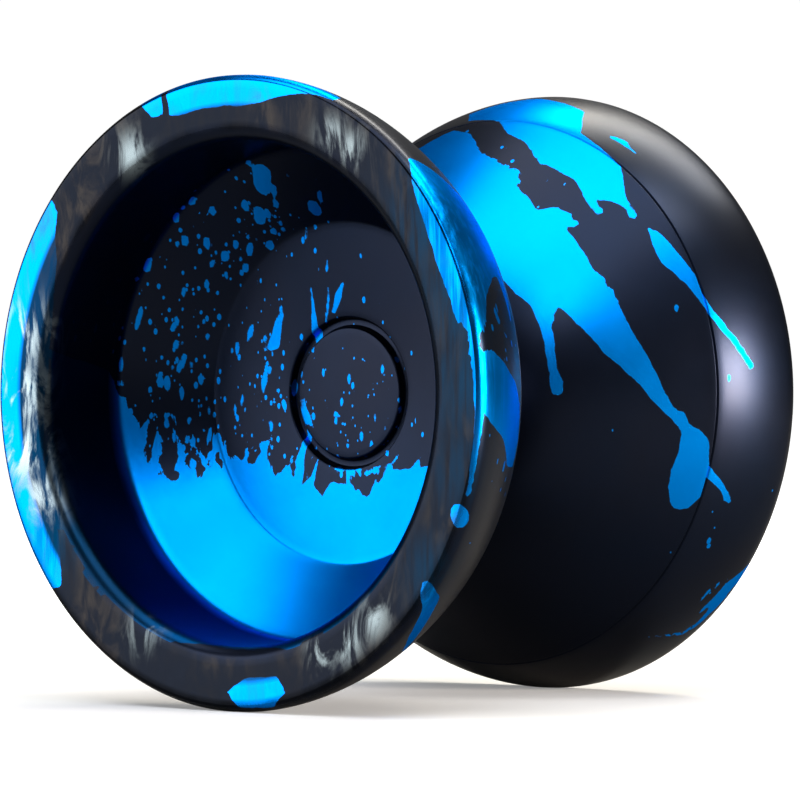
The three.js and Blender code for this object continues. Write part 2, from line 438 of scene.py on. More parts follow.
def splash_anodised():
    """Blasted aluminium, dyed blue and then black round the splashes, with polished rim faces."""
    material = bpy.data.materials.new("splash_anodised")
    tree, add, link = nodes_of(material)
    math_node = lambda *args: number(tree, add, link, *args)
    place = add("ShaderNodeTexCoord").outputs["Object"]
    depth = add("ShaderNodeAttribute", attribute_name="splash").outputs["Fac"]
    shower = add("ShaderNodeAttribute", attribute_name="shower").outputs["Fac"]
    lace = add("ShaderNodeAttribute", attribute_name="lace").outputs["Fac"]
    polish = add("ShaderNodeAttribute", attribute_name="polish").outputs["Fac"]
    wash_and_painted_shade = add("ShaderNodeAttribute", attribute_name="wash_and_painted_shade").outputs["Fac"]
    rubbed_and_painted_highlight = add("ShaderNodeAttribute", attribute_name="rubbed_and_painted_highlight").outputs["Fac"]
    painted_wall_shade = add("ShaderNodeAttribute", attribute_name="painted_wall_shade").outputs["Fac"]

    # Where the paint was thin it tore into strings and islands: the edge is shifted by noise that runs downwards.
    torn_at = add("ShaderNodeMapping")
    torn_at.inputs["Rotation"].default_value = (0, 0.25, 0)
    torn_at.inputs["Scale"].default_value = (900, 900, 380)
    link(place, torn_at.inputs["Vector"])
    torn = add("ShaderNodeTexNoise", Scale=1, Detail=3, Roughness=0.55, Distortion=0.6)
    link(torn_at.outputs["Vector"], torn.inputs["Vector"])
    tearing = math_node("MULTIPLY", math_node("SUBTRACT", torn.outputs["Fac"], 0.5), math_node("MULTIPLY", lace, 9))
    ragged = add("ShaderNodeTexNoise", Scale=1400, Detail=3, Roughness=0.6)
    link(place, ragged.inputs["Vector"])
    edge = math_node("MULTIPLY_ADD", ragged.outputs["Fac"], 0.2, -0.1)
    edge = math_node("ADD", math_node("ADD", depth, edge), tearing)
    poured = add("ShaderNodeMapRange", interpolation_type="SMOOTHSTEP")
    for name, value in (("From Min", 0.035), ("From Max", -0.035)):
        poured.inputs[name].default_value = value
    link(edge, poured.inputs["Value"])

    # Three sizes of speckle, drawn out up and down as they ran.
    speckled = None
    for cell, stretch, lean, share, most in (
        (0.55, 1.7, 0.3, 0.9, 0.4),
        (0.95, 2.3, 0.14, 0.8, 0.36),
        (1.9, 1.7, -0.2, 0.4, 0.3),
    ):
        stretched = add("ShaderNodeMapping")
        stretched.inputs["Rotation"].default_value = (0, lean, 0)
        stretched.inputs["Scale"].default_value = (1 / (cell * MM), 1 / (cell * MM), 1 / (cell * stretch * MM))
        link(place, stretched.inputs["Vector"])
        cells = add("ShaderNodeTexVoronoi", feature="F1", Scale=1)
        link(stretched.outputs["Vector"], cells.inputs["Vector"])
        chance = add("ShaderNodeSeparateColor")
        link(cells.outputs["Color"], chance.inputs["Color"])
        present = math_node("LESS_THAN", chance.outputs["Red"], math_node("MULTIPLY", shower, share))
        size = math_node("MULTIPLY_ADD", math_node("POWER", chance.outputs["Green"], 2), 0.7 * most, 0.3 * most)
        uneven = math_node("MULTIPLY_ADD", ragged.outputs["Fac"], 0.3, math_node("ADD", size, -0.15))
        gap = math_node("SUBTRACT", uneven, cells.outputs["Distance"])
        spot = add("ShaderNodeMapRange", interpolation_type="SMOOTHSTEP")
        for name, value in (("From Min", -0.03), ("From Max", 0.04)):
            spot.inputs[name].default_value = value
        link(gap, spot.inputs["Value"])
        spot = math_node("MULTIPLY", spot.outputs["Result"], present)
        speckled = spot if speckled is None else math_node("MAXIMUM", speckled, spot)
    blue_here = math_node("MAXIMUM", poured.outputs["Result"], speckled)

    cloud = add("ShaderNodeTexNoise", Scale=90, Detail=4)
    link(place, cloud.inputs["Vector"])
    black = colour_mix(tree, add, link, cloud.outputs["Fac"], BLACK_DYE, BLACK_DYE_WARM)
    black = colour_mix(tree, add, link, math_node("MULTIPLY", polish, 0.9), black, (0.0035, 0.0052, 0.0095, 1))
    blue = colour_mix(tree, add, link, cloud.outputs["Fac"], BLUE_DYE_DEEP, BLUE_DYE)
    # Painted shade: on the cup's wall the blue is darkened towards deep navy.
    blue = colour_mix(tree, add, link, painted_wall_shade, blue, BLUE_IN_PAINTED_SHADE)
    colour = colour_mix(tree, add, link, blue_here, black, blue)

    # The polished rim face: brown-grey clouds, partly smudges and partly painted sheen, and a dark teal wash, thin dye
    # in streaks on the right and painted shade on the left of the inner rounding.
    smear_at = add("ShaderNodeMapping")
    smear_at.inputs["Scale"].default_value = (420, 420, 130)
    link(place, smear_at.inputs["Vector"])
    smear = add("ShaderNodeTexNoise", Scale=1, Detail=6, Roughness=0.62, Distortion=1.2)
    link(smear_at.outputs["Vector"], smear.inputs["Vector"])
    clear_of_wash_and_shade = math_node("MULTIPLY", polish, math_node("MULTIPLY_ADD", wash_and_painted_shade, -0.8, 1))
    patches = ramp(add, link, cloud.outputs["Fac"], 0.42, 0.58, 0.15, 1)
    brown_smear_and_painted_sheen = math_node("MULTIPLY", ramp(add, link, smear.outputs["Fac"], 0.42, 0.72, 0, 0.7), clear_of_wash_and_shade)
    brown_smear_and_painted_sheen = math_node("MULTIPLY", brown_smear_and_painted_sheen, patches)
    colour = colour_mix(tree, add, link, brown_smear_and_painted_sheen, colour, (0.04, 0.034, 0.03, 1))
    streak_at = add("ShaderNodeMapping")
    streak_at.inputs["Scale"].default_value = (1500, 1500, 110)
    link(place, streak_at.inputs["Vector"])
    streaks = add("ShaderNodeTexNoise", Scale=1, Detail=4, Roughness=0.6, Distortion=0.3)
    link(streak_at.outputs["Vector"], streaks.inputs["Vector"])
    washed_and_shaded = math_node("MULTIPLY", ramp(add, link, streaks.outputs["Fac"], 0.3, 0.6), wash_and_painted_shade)
    colour = colour_mix(tree, add, link, washed_and_shaded, colour, (0.0, 0.02, 0.05, 1))
    # Pale clouds on the rim face: where it was rubbed before it was dyed the metal shows through, and the large clouds
    # on its left side are painted highlights.
    rubbed = math_node("MULTIPLY", ramp(add, link, smear.outputs["Fac"], 0.44, 0.6), rubbed_and_painted_highlight)
    colour = colour_mix(tree, add, link, rubbed, colour, (0.5, 0.62, 0.66, 1))

    grain = add("ShaderNodeTexNoise", Scale=9000, Detail=2, Roughness=0.7)
    link(place, grain.inputs["Vector"])
    handling = add("ShaderNodeTexNoise", Scale=260, Detail=5, Roughness=0.65)
    link(place, handling.inputs["Vector"])
    satin = math_node("MULTIPLY_ADD", grain.outputs["Fac"], 0.1, 0.26)
    satin = math_node("MULTIPLY_ADD", handling.outputs["Fac"], 0.08, satin)
    glossy = math_node("MULTIPLY_ADD", smear.outputs["Fac"], 0.3, 0.04)
    rough = add("ShaderNodeMix", data_type="FLOAT")
    link(polish, rough.inputs["Factor"])
    link(satin, rough.inputs[2])
    link(glossy, rough.inputs[3])

    bump = add("ShaderNodeBump", Strength=0.25, Distance=0.02 * MM)
    height = math_node("MULTIPLY", grain.outputs["Fac"], math_node("SUBTRACT", 1, polish))
    link(height, bump.inputs["Height"])

    shader = add("ShaderNodeBsdfPrincipled")
    shader.inputs["Metallic"].default_value = 1
    link(math_node("MULTIPLY_ADD", blue_here, -0.1, 0.1), shader.inputs["Coat Weight"])
    shader.inputs["Coat Roughness"].default_value = 0.25
    link(colour, shader.inputs["Base Color"])
    # Blue dye stays blue at a grazing angle.
    edge_on = colour_mix(tree, add, link, blue_here, (1, 1, 1, 1), (0.0, 0.5, 1, 1))
    link(edge_on, shader.inputs["Specular Tint"])
    link(rough.outputs[0], shader.inputs["Roughness"])
    link(bump.outputs["Normal"], shader.inputs["Normal"])
    output = add("ShaderNodeOutputMaterial")
    link(shader.outputs[0], output.inputs["Surface"])
    return material


anodised = splash_anodised()

# ---- Front half ----
# The half whose cup faces the viewer. A pool of blue fills the bottom of the cup, with drips and spray above it.

front_half, front_outline = make_half("front_half_shell", mirror=True)
front = Splash(front_half, front_outline, seed=11)


def cup_stroke(*places):
    return [(*cup(across, up), width) for across, up, width in places]


# The pool, over the lower floor, cone and wall. Its edge steps down from left to right in teeth.
front.fill(
    (-34, 6),
    (-26.5, 2.5),
    (-23.5, -3),
    (-21, -8.5),
    (-18.5, -9),
    (-15.5, -7),
    (-13, -6),
    (-12, -7),
    (-10.5, -5),
    (-9, -8),
    (-7.5, -7),
    (-6, -10),
    (-5, -8.5),
    (-3, -10.5),
    (-2, -9),
    (2.5, -10),
    (5, -8),
    (14, -6.5),
    (30, -6),
    (30, -34),
    (-34, -34),
    plan=True,
)
# Fingers and strings that reach up out of the pool.
front.pour(
    cup_stroke((-10.6, -5.6, 0.4), (-9.6, -4.2, 0.12)),
    cup_stroke((-12.2, -7, 0.4), (-11.5, -4.9, 0.1)),
    cup_stroke((-6.2, -11, 0.5), (-6.1, -7, 0.42), (-5.6, -4.4, 0.3), (-5.1, -2.4, 0.3), (-5.2, -0.8, 0.2)),
    cup_stroke((-22.6, -4.6, 0.3), (-21.8, -3.0, 0.34), (-20.9, -2.4, 0.1)),
    cup_stroke((-22.0, -6.4, 0.2), (-20.6, -5.0, 0.3), (-19.2, -4.6, 0.12)),
    cup_stroke((-21.5, -2.6, 0.2), (-20.2, -4.4, 0.34), (-19.0, -6.4, 0.24), (-18.2, -8.6, 0.3)),
    cup_stroke((-19.6, -2.4, 0.3), (-18.4, -4.2, 0.24), (-17.0, -6.0, 0.3), (-16.2, -8.0, 0.3)),
    cup_stroke((-18.0, -2.4, 0.12), (-16.8, -3.8, 0.26), (-15.4, -5.6, 0.22), (-14.6, -7.2, 0.3)),
    cup_stroke((-20.6, -7.4, 0.12), (-19.0, -7.6, 0.2), (-17.4, -7.8, 0.14)),
    cup_stroke((-3.4, -7.6, 0.1), (-0.6, -7.9, 0.2), (2.6, -8.0, 0.24), (5.2, -7.4, 0.2)),
    cup_stroke((-8.4, -8.4, 0.2), (-7.2, -6.6, 0.1)),
    cup_stroke((-4.6, -9.4, 0.3), (-4.0, -6.8, 0.08)),
    cup_stroke((0.6, -10, 0.22), (0.2, -8.2, 0.06)),
    cup_stroke((4.8, -9, 0.4), (6.4, -6.2, 0.1)),
    cup_stroke((8.0, -8.4, 0.4), (9.4, -6.0, 0.12)),
)
# Runs and drops on the floor.
front.pour(
    cup_stroke((-8.0, 9.4, 0.05), (-8.3, 7.9, 0.28), (-8.9, 6.4, 0.5), (-9.5, 5.0, 0.62), (-10.1, 4.4, 0.3)),
    cup_stroke((-10.5, 5.9, 0.1), (-10.8, 4.3, 0.25)),
    cup_stroke((-12.0, 7.2, 0.08), (-12.2, 6.0, 0.34), (-12.5, 4.8, 0.15)),
    cup_stroke((-0.2, 11.0, 0.12), (-1.0, 9.6, 0.42), (-1.8, 8.1, 0.2)),
    cup_stroke((-2.2, 10.5, 0.1), (-2.5, 8.4, 0.18), (-3.3, 6.6, 0.08)),
    cup_stroke((-4.4, 10.6, 0.1), (-4.6, 8.2, 0.22), (-4.5, 6.2, 0.45), (-4.5, 5.0, 0.4), (-4.2, 3.2, 0.1)),
    cup_stroke((-2.2, 13.9, 0.05), (-2.4, 11.8, 0.18)),
    cup_stroke((-4.6, 16.0, 0.08), (-4.8, 15.0, 0.14)),
    cup_stroke((-10.5, 2.8, 0.2), (-10.8, 1.2, 0.34), (-11.0, -0.3, 0.15)),
    cup_stroke((-9.1, 3.0, 0.08), (-9.3, 1.4, 0.26), (-9.5, 0.6, 0.1)),
    cup_stroke((-9.2, 0, 0.22), (-9.7, -1.7, 0.1)),
    cup_stroke((-8.4, -1.2, 0.3), (-8.0, -2.2, 0.15)),
    cup_stroke((-5.3, -0.8, 0.2), (-4.7, -2.2, 0.32), (-4.2, -3.2, 0.12)),
    cup_stroke((-13.9, -1.0, 0.1), (-13.6, -2.6, 0.22)),
    cup_stroke((2.2, -0.4, 0.12), (3.4, 1.0, 0.06)),
    cup_stroke((1.4, 3.4, 0.1), (2.2, 2.2, 0.16)),
    cup_stroke((-1.6, -2.0, 0.3), (-0.6, -3.0, 0.14)),
)
# The largest drops on the cone, by the place they landed at, how far they ran and their half width.
for across, up, run, width in (
    (-6.5, 22.5, 2.0, 0.9),
    (-7.5, 23.5, 0.0, 0.4),
    (-9.0, 18.0, 0.8, 0.55),
    (-10.0, 19.0, 0.5, 0.35),
    (-8.0, 18.0, 0.4, 0.3),
    (-2.5, 18.5, 0.6, 0.6),
    (-6.0, 20.5, 0.6, 0.3),
    (-6.5, 19.0, 0.6, 0.3),
    (-1.0, 20.0, 1.0, 0.25),
    (-13.5, 18.5, 0.3, 0.4),
    (-15.0, 20.0, 0.5, 0.3),
    (-17.0, 18.5, 0.8, 0.3),
    (-17.0, 16.0, 0.6, 0.3),
    (-15.0, 15.5, 0.6, 0.35),
    (-13.5, 14.0, 0.5, 0.4),
    (-12.0, 12.5, 0.5, 0.3),
    (-9.0, 14.5, 0.3, 0.45),
    (-11.0, 14.5, 0.9, 0.3),
    (-21.0, 14.0, 1.0, 0.35),
    (-22.5, 12.0, 0.0, 0.3),
    (-15.0, 13.5, 0.6, 0.25),
    (-22.5, 8.5, 2.0, 0.3),
    (-19.5, 7.0, 0.6, 0.3),
    (-19.5, 5.0, 0.4, 0.3),
    (-19.0, 3.5, 1.2, 0.3),
    (-21.0, 2.0, 1.0, 0.25),
    (-17.5, 1.5, 1.0, 0.35),
    (-25.0, 1.0, 0.0, 0.3),
):
    front.pour(cup_stroke((across, up, width), (across - 0.35 * run, up - 0.9 * run, width)))
# The rim's polished face and the band behind it.
front.fill((-20, 38.4), (-24, 41), (-14, 42), (5, 42.5), (24, 41.6), (25, 40.4), (15, 39.2), (8, 37.8), (-4, 37.2), (-14, 37.6))
front.fill(
    (-50, 41),
    (-51, 39.3),
    (-52, 38.3),
    (-56, 37.3),
    (-60, 36.2),
    (-66, 35.3),
    (-75, 34.6),
    (-88, 34.5),
    (-97, 35.0),
    (-106, 35.5),
    (-116, 35.4),
    (-122, 36.2),
    (-127, 37.6),
    (-131, 39.0),
    (-130, 41.5),
    (-90, 43.5),
)
front.fill((176, 37.2), (168, 37.4), (166, 38.8), (170, 40.2), (178, 39.8), (181, 38.4))
front.fill((44, 40.6), (46, 44), (50, 48), (60, 49), (68, 47), (69, 45), (73, 42.4), (79, 41), (80, 39.6), (76, 38.2), (64, 37.8), (52, 38.8))
front.fill((82, 39.4), (82, 41), (84, 43.6), (88, 46.8), (93, 48.4), (99, 48.9), (104, 48.2), (103, 46), (98, 43.6), (95, 41.3), (92, 39.6))
front.pour(
    [(111.5, 39.6, 0.75), (112.5, 40.2, 0.7)],
    [(127, 39.6, 0.5), (130, 41.2, 0.9), (137, 42.6, 0.8), (144, 44.6, 0.3)],
    [(60, 39.4, 0.5), (78, 39.8, 0.5), (96, 39.9, 0.4), (108, 40, 0.2)],
    [(75, 43.6, 0.3), (77, 44.0, 0.34)],
    [(79, 45.0, 0.24), (79.5, 45.2, 0.2)],
    [(84, 45.8, 0.2)],
    [(117, 42.2, 0.2)],
    [(117.4, 43.1, 0.16)],
    [(107, 44.2, 0.2)],
    [(56, 47, 1.5), (68, 47.4, 0.9), (76, 47.6, 0.25)],
)
front.pour([(-15, 41.5, 0.25), (-17, 37.5, 0.35)], resist=True)
for layer, clock, along, reach, strength in (
    ("shower", -108, 16, 8, 0.85),
    ("shower", -90, 20, 7, 0.75),
    ("shower", -60, 20, 8, 0.7),
    ("shower", -35, 19, 8, 0.55),
    ("shower", -15, 20, 4, 0.3),
    ("shower", -100, 10, 7, 0.8),
    ("shower", -60, 10, 7, 0.3),
    ("shower", 150, 3.5, 5, 0.75),
    ("shower", 60, 3, 5, 0.4),
    ("shower", 180, 8.5, 4, 0.5),
    ("shower", 150, 9.5, 4, 0.55),
    ("shower", 10, 9, 6, 0.16),
    ("shower", 70, 11, 5, 0.14),
    ("shower", 78, 46, 3, 0.4),
    ("shower", 100, 45, 4, 0.2),
    ("lace", -102, 21, 4.5, 0.6),
    ("lace", -112, 17, 4.5, 0.65),
    ("lace", -124, 13, 3.5, 0.3),
    ("lace", 80, 39.8, 3, 0.3),
    ("lace", 165, 9.5, 3, 0.22),
    ("wash_and_painted_shade", 58, 39, 5, 0.8),
    ("wash_and_painted_shade", 72, 39, 5, 0.8),
    ("wash_and_painted_shade", 88, 38.5, 4.5, 0.7),
    ("wash_and_painted_shade", 104, 38.5, 3.5, 0.5),
    ("wash_and_painted_shade", 124, 39.5, 3, 0.7),
    # The three washes from -88 to -122 are painted shade on the inner rounding of the rim's left side.
    ("wash_and_painted_shade", -88, 35.4, 2, 0.9),
    ("wash_and_painted_shade", -101, 35.6, 1.8, 0.9),
    ("wash_and_painted_shade", -122, 37, 3, 0.7),
    ("rubbed_and_painted_highlight", -29, 36.5, 1.7, 0.45),
    ("rubbed_and_painted_highlight", 27, 37.3, 1.4, 0.4),
    ("rubbed_and_painted_highlight", 33, 37.3, 1.4, 0.4),
    ("rubbed_and_painted_highlight", 140, 37.4, 1.5, 0.45),
    ("rubbed_and_painted_highlight", 148, 37.2, 1.5, 0.5),
    ("rubbed_and_painted_highlight", 155, 36.9, 1.3, 0.42),
    ("rubbed_and_painted_highlight", -154, 35.8, 1.5, 0.3),
    # The pale clouds from -78 to -112 are painted highlights on the rim's left side.
    ("rubbed_and_painted_highlight", -78, 37.8, 2.6, 0.85),
    ("rubbed_and_painted_highlight", -90, 38, 2.8, 1),
    ("rubbed_and_painted_highlight", -102, 37.6, 2.8, 0.9),
    ("rubbed_and_painted_highlight", -112, 36.6, 2.2, 0.7),
):
    front.spread(layer, clock, along, reach, strength)
# Painted shade on the cup's wall: the blue there is darkened towards deep navy, least at the bottom.
from_bottom = np.abs(front.clock - 180)
drift = np.clip(0.8 + from_bottom / 160, 0, 1)
front.layers["painted_wall_shade"] = drift * np.clip((front.along - 25.2) / 1.2, 0, 1) * (front.along < RIM_START + 2)
front.keep()
front_half.data.materials.append(anodised)
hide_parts("front_half")
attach(front_half, "front_half")

# ---- Front pad ----
# A flat ring of soft blue silicone that grips the string. It is moulded, pressed into the groove in the wall of the
# gap and held by its own glue, and it goes pale and dusty along the middle where the string rubs it.


def spun_ring(name, corners, around, step, mirror=False):
    """A spun ring from (radius, y, fillet) corners, fine enough to look round from close by."""
    piece = spun(name, spaced(rounded(corners), step, closed=True), around, ring=True, mirror=mirror)
    smooth_normals(piece)
    return piece


def make_pad(name, mirror):
    low, high = GAP_WALL_Y + 0.08, GAP_WALL_Y + 0.97
    moulded = [
        (7.25, high, 0.08),
        (9.45, high, 0.08),
        (9.45, low, 0.16),
        (9.02, low, 0.03),
        (8.98, low + 0.07, 0.03),
        (8.9, low + 0.07, 0.03),
        (8.86, low, 0.03),
        (7.84, low, 0.03),
        (7.8, low + 0.07, 0.03),
        (7.72, low + 0.07, 0.03),
        (7.68, low, 0.03),
        (7.25, low, 0.16),
    ]
    return spun_ring(name, moulded, 240, 0.2, mirror)


def from_axis(tree, add, link, place):
    """Distance from the spin axis, in millimetres."""
    flat = add("ShaderNodeVectorMath", operation="MULTIPLY")
    flat.inputs[1].default_value = (1000, 0, 1000)
    link(place, flat.inputs[0])
    length = add("ShaderNodeVectorMath", operation="LENGTH")
    link(flat.outputs["Vector"], length.inputs[0])
    return length.outputs["Value"]


def silicone():
    material = bpy.data.materials.new("silicone")
    tree, add, link = nodes_of(material)
    place = add("ShaderNodeTexCoord").outputs["Object"]
    cloud = add("ShaderNodeTexNoise", Scale=420, Detail=4)
    link(place, cloud.inputs["Vector"])
    lint = add("ShaderNodeTexNoise", Scale=3200, Detail=5, Roughness=0.75)
    link(place, lint.inputs["Vector"])
    radius = from_axis(tree, add, link, place)
    off_track = number(tree, add, link, "ABSOLUTE", number(tree, add, link, "SUBTRACT", radius, 8.35))
    rubbed = ramp(add, link, off_track, 0.75, 0.1)
    rubbed = number(tree, add, link, "MULTIPLY", rubbed, cloud.outputs["Fac"])
    body = colour_mix(tree, add, link, cloud.outputs["Fac"], (0.008, 0.07, 0.3, 1), (0.014, 0.13, 0.46, 1))
    body = colour_mix(tree, add, link, rubbed, body, (0.09, 0.2, 0.42, 1))
    dusty = ramp(add, link, lint.outputs["Fac"], 0.6, 0.74, 0, 0.5)
    body = colour_mix(tree, add, link, dusty, body, (0.3, 0.33, 0.38, 1))
    rough = number(tree, add, link, "MULTIPLY_ADD", rubbed, 0.3, 0.42)
    rough = number(tree, add, link, "MULTIPLY_ADD", lint.outputs["Fac"], 0.18, rough)
    bump = add("ShaderNodeBump", Strength=0.35, Distance=0.02 * MM)
    link(lint.outputs["Fac"], bump.inputs["Height"])
    shader = add("ShaderNodeBsdfPrincipled")
    shader.inputs["Subsurface Weight"].default_value = 0.25
    shader.inputs["Subsurface Radius"].default_value = (0.0003, 0.0006, 0.001)
    link(body, shader.inputs["Base Color"])
    link(rough, shader.inputs["Roughness"])
    link(bump.outputs["Normal"], shader.inputs["Normal"])
    output = add("ShaderNodeOutputMaterial")
    link(shader.outputs[0], output.inputs["Surface"])
    return material


pad_silicone = silicone()

front_pad = make_pad("front_pad_mould", mirror=True)
front_pad.data.materials.append(pad_silicone)
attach(front_pad, "front_half")
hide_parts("front_pad")

# ---- Axle ----
# A headless M4 screw with a hexagon socket in its rear end: rolled thread, black oxide over steel, rubbed bright
# along the crests of the thread. It is glued into the front half, and the rear half screws onto it.


def make_axle():
    end_y, crest, root, pitch = 5.0, 1.99, 1.66, 0.7
    around, rows = 72, 14
    flank = []
    for k in range(rows):
        across = abs(2 * k / rows - 1)
        flank.append(root + (crest - root) * min(1, max(0, (across - 0.16) / 0.7)))
    turns = math.ceil(2 * end_y / pitch) + 2
    grid = []
    for k in range(turns * rows):
        for side in range(around):
            y = -end_y + pitch * (k / rows - 1 + side / around)
            y = min(max(y, -end_y), end_y)
            chamfer = crest - 0.34 + (end_y - abs(y))
            grid.append((min(flank[k % rows], chamfer), y, side))
    faces = []
    for k in range(turns * rows - 1):
        for side in range(around):
            step = 0 if side + 1 < around else rows  # past the seam the thread is one turn further on
            following = (side + 1) % around
            if k + 1 + step < turns * rows:
                quad = (k, side), (k + step, following), (k + 1 + step, following), (k + 1, side)
                faces.append([row * around + place for row, place in quad])
    socket = []
    for side in range(around):
        turn = math.radians((side * 360 / around + 30) % 60 - 30)
        socket.append(1 / math.cos(turn))

    def row(radii, y):
        """Adds a level row of points and gives the number of its first one."""
        grid.extend((radii[side], y, side) for side in range(around))
        return len(grid) - around

    def join(low, high):
        for side in range(around):
            following = (side + 1) % around
            faces.append([low + side, low + following, high + following, high + side])

    def close(start, y, upwards):
        grid.append((0, y, 0))
        for side in range(around):
            pair = [start + side, start + (side + 1) % around]
            faces.append((pair if upwards else pair[::-1]) + [len(grid) - 1])

    rim = [crest - 0.34] * around
    rear = [
        row(rim, end_y),
        row([radius + 0.12 for radius in socket], end_y),
        row([radius + 0.02 for radius in socket], end_y - 0.1),
        row(socket, end_y - 0.2),
        row(socket, end_y - 1.78),
        row([0.86] * around, end_y - 1.8),
    ]
    for low, high in zip(rear, rear[1:]):
        join(low, high)
    close(rear[-1], end_y - 2.1, True)
    front = [
        row(rim, -end_y),
        row([1.15] * around, -end_y),
        row([1.05] * around, 0.05 - end_y),
    ]
    for low, high in zip(front, front[1:]):
        join(high, low)
    close(front[-1], 0.4 - end_y, False)

    places = []
    for radius, y, side in grid:
        clock = 2 * math.pi * side / around
        places.append((radius * math.sin(clock) * MM, y * MM, radius * math.cos(clock) * MM))
    mesh = bpy.data.meshes.new("axle_screw")
    mesh.from_pydata(places, [], faces)
    work = bmesh.new()
    work.from_mesh(mesh)
    bmesh.ops.remove_doubles(work, verts=work.verts, dist=0.0004 * MM)
    bmesh.ops.dissolve_degenerate(work, edges=work.edges, dist=0.0002 * MM)
    bmesh.ops.recalc_face_normals(work, faces=work.faces)
    work.to_mesh(mesh)
    mesh.shade_smooth()
    mesh.set_sharp_from_angle(angle=math.radians(32))
    screw = bpy.data.objects.new("axle_screw", mesh)
    bpy.context.collection.objects.link(screw)
    return screw


def oxide_steel():
    material = bpy.data.materials.new("black_oxide_steel")
    tree, add, link = nodes_of(material)
    place = add("ShaderNodeTexCoord").outputs["Object"]
    cloud = add("ShaderNodeTexNoise", Scale=900, Detail=5, Roughness=0.6)
    link(place, cloud.inputs["Vector"])
    grit = add("ShaderNodeTexNoise", Scale=7000, Detail=3)
    link(place, grit.inputs["Vector"])
    radius = from_axis(tree, add, link, place)
    crest = ramp(add, link, radius, 1.88, 1.985)
    patchy = ramp(add, link, cloud.outputs["Fac"], 0.4, 0.62)
    bright = number(tree, add, link, "MULTIPLY", crest, patchy)
    oxide = colour_mix(tree, add, link, cloud.outputs["Fac"], (0.016, 0.016, 0.018, 1), (0.04, 0.037, 0.036, 1))
    colour = colour_mix(tree, add, link, bright, oxide, (0.34, 0.33, 0.32, 1))
    rough = number(tree, add, link, "MULTIPLY_ADD", cloud.outputs["Fac"], 0.3, 0.28)
    rough = number(tree, add, link, "MULTIPLY_ADD", bright, -0.14, rough)
    bump = add("ShaderNodeBump", Strength=0.3, Distance=0.01 * MM)
    link(grit.outputs["Fac"], bump.inputs["Height"])
    shader = add("ShaderNodeBsdfPrincipled")
    shader.inputs["Metallic"].default_value = 1
    link(colour, shader.inputs["Base Color"])
    link(rough, shader.inputs["Roughness"])
    link(bump.outputs["Normal"], shader.inputs["Normal"])
    output = add("ShaderNodeOutputMaterial")
    link(shader.outputs[0], output.inputs["Surface"])
    return material


axle = make_axle()
axle.data.materials.append(oxide_steel())
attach(axle, "front_half")
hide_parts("axle")

# ---- Bearing's inner race ----
# Hardened chrome steel, ground all over, with a lapped raceway. It slides onto the hubs' posts and is clamped
# between their shoulders. Fine rings from grinding run round it under a thin film of oil.

PITCH = 4.7625
BALL_RADIUS = 0.992
BEARING_SIDE = 2.38
RACEWAY = BALL_RADIUS * 1.04


def raceway(centre, land, opens_out, steps=22):
    """The groove for the balls, from the -Y land to the +Y one."""
    edge = math.asin(min(1, math.sqrt(max(0, RACEWAY**2 - (land - centre) ** 2)) / RACEWAY))
    side = 1 if opens_out else -1
    places = []
    for k in range(steps + 1):
        turn = -edge + 2 * edge * k / steps
        places.append((centre + side * RACEWAY * math.cos(turn), RACEWAY * math.sin(turn), 0))
    return places


def ground_steel(name, dark, light, roughness, rings, oil=0.12):
    """Steel with marks that run round the axis, a thin uneven film of oil and a few scratches."""
    material = bpy.data.materials.new(name)
    tree, add, link = nodes_of(material)
    place = add("ShaderNodeTexCoord").outputs["Object"]
    parts = add("ShaderNodeSeparateXYZ")
    link(place, parts.inputs[0])
    radius = from_axis(tree, add, link, place)
    height = number(tree, add, link, "MULTIPLY", parts.outputs["Y"], 1000)
    lines_at = add("ShaderNodeCombineXYZ")
    link(radius, lines_at.inputs["X"])
    link(height, lines_at.inputs["Y"])
    lines = add("ShaderNodeTexNoise", Scale=26, Detail=6, Roughness=0.75)
    link(lines_at.outputs[0], lines.inputs["Vector"])
    film = add("ShaderNodeTexNoise", Scale=520, Detail=3, Distortion=0.8)
    link(place, film.inputs["Vector"])
    scratch = add("ShaderNodeTexNoise", Scale=5200, Detail=2, Roughness=0.6)
    link(place, scratch.inputs["Vector"])
    colour = colour_mix(tree, add, link, film.outputs["Fac"], dark, light)
    oily = ramp(add, link, film.outputs["Fac"], 0.5, 0.72, 0, oil)
    colour = colour_mix(tree, add, link, oily, colour, (0.42, 0.31, 0.15, 1))
    rough = number(tree, add, link, "MULTIPLY_ADD", lines.outputs["Fac"], rings, roughness)
    rough = number(tree, add, link, "MULTIPLY_ADD", film.outputs["Fac"], 0.1, rough)
    relief = number(tree, add, link, "MULTIPLY_ADD", scratch.outputs["Fac"], 0.25, lines.outputs["Fac"])
    bump = add("ShaderNodeBump", Strength=0.22, Distance=0.004 * MM)
    link(relief, bump.inputs["Height"])
    shader = add("ShaderNodeBsdfPrincipled")
    shader.inputs["Metallic"].default_value = 1
    link(colour, shader.inputs["Base Color"])
    link(rough, shader.inputs["Roughness"])
    link(bump.outputs["Normal"], shader.inputs["Normal"])
    output = add("ShaderNodeOutputMaterial")
    link(shader.outputs[0], output.inputs["Surface"])
    return material


race_steel = ground_steel("ground_race_steel", (0.45, 0.46, 0.48, 1), (0.66, 0.67, 0.68, 1), 0.1, 0.2)

inner_groove = raceway(PITCH - BALL_RADIUS - 0.02 + RACEWAY, 4.1, opens_out=False)
inner_race = spun_ring(
    "inner_race_ring",
    [
        (3.175, -BEARING_SIDE, 0.12),
        (3.175, BEARING_SIDE, 0.12),
        (4.1, BEARING_SIDE, 0.1),
        *inner_groove[::-1],
        (4.1, -BEARING_SIDE, 0.1),
    ],
    240,
    0.25,
)
inner_race.data.materials.append(race_steel)
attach(inner_race, "front_half")
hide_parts("bearing_inner_race")

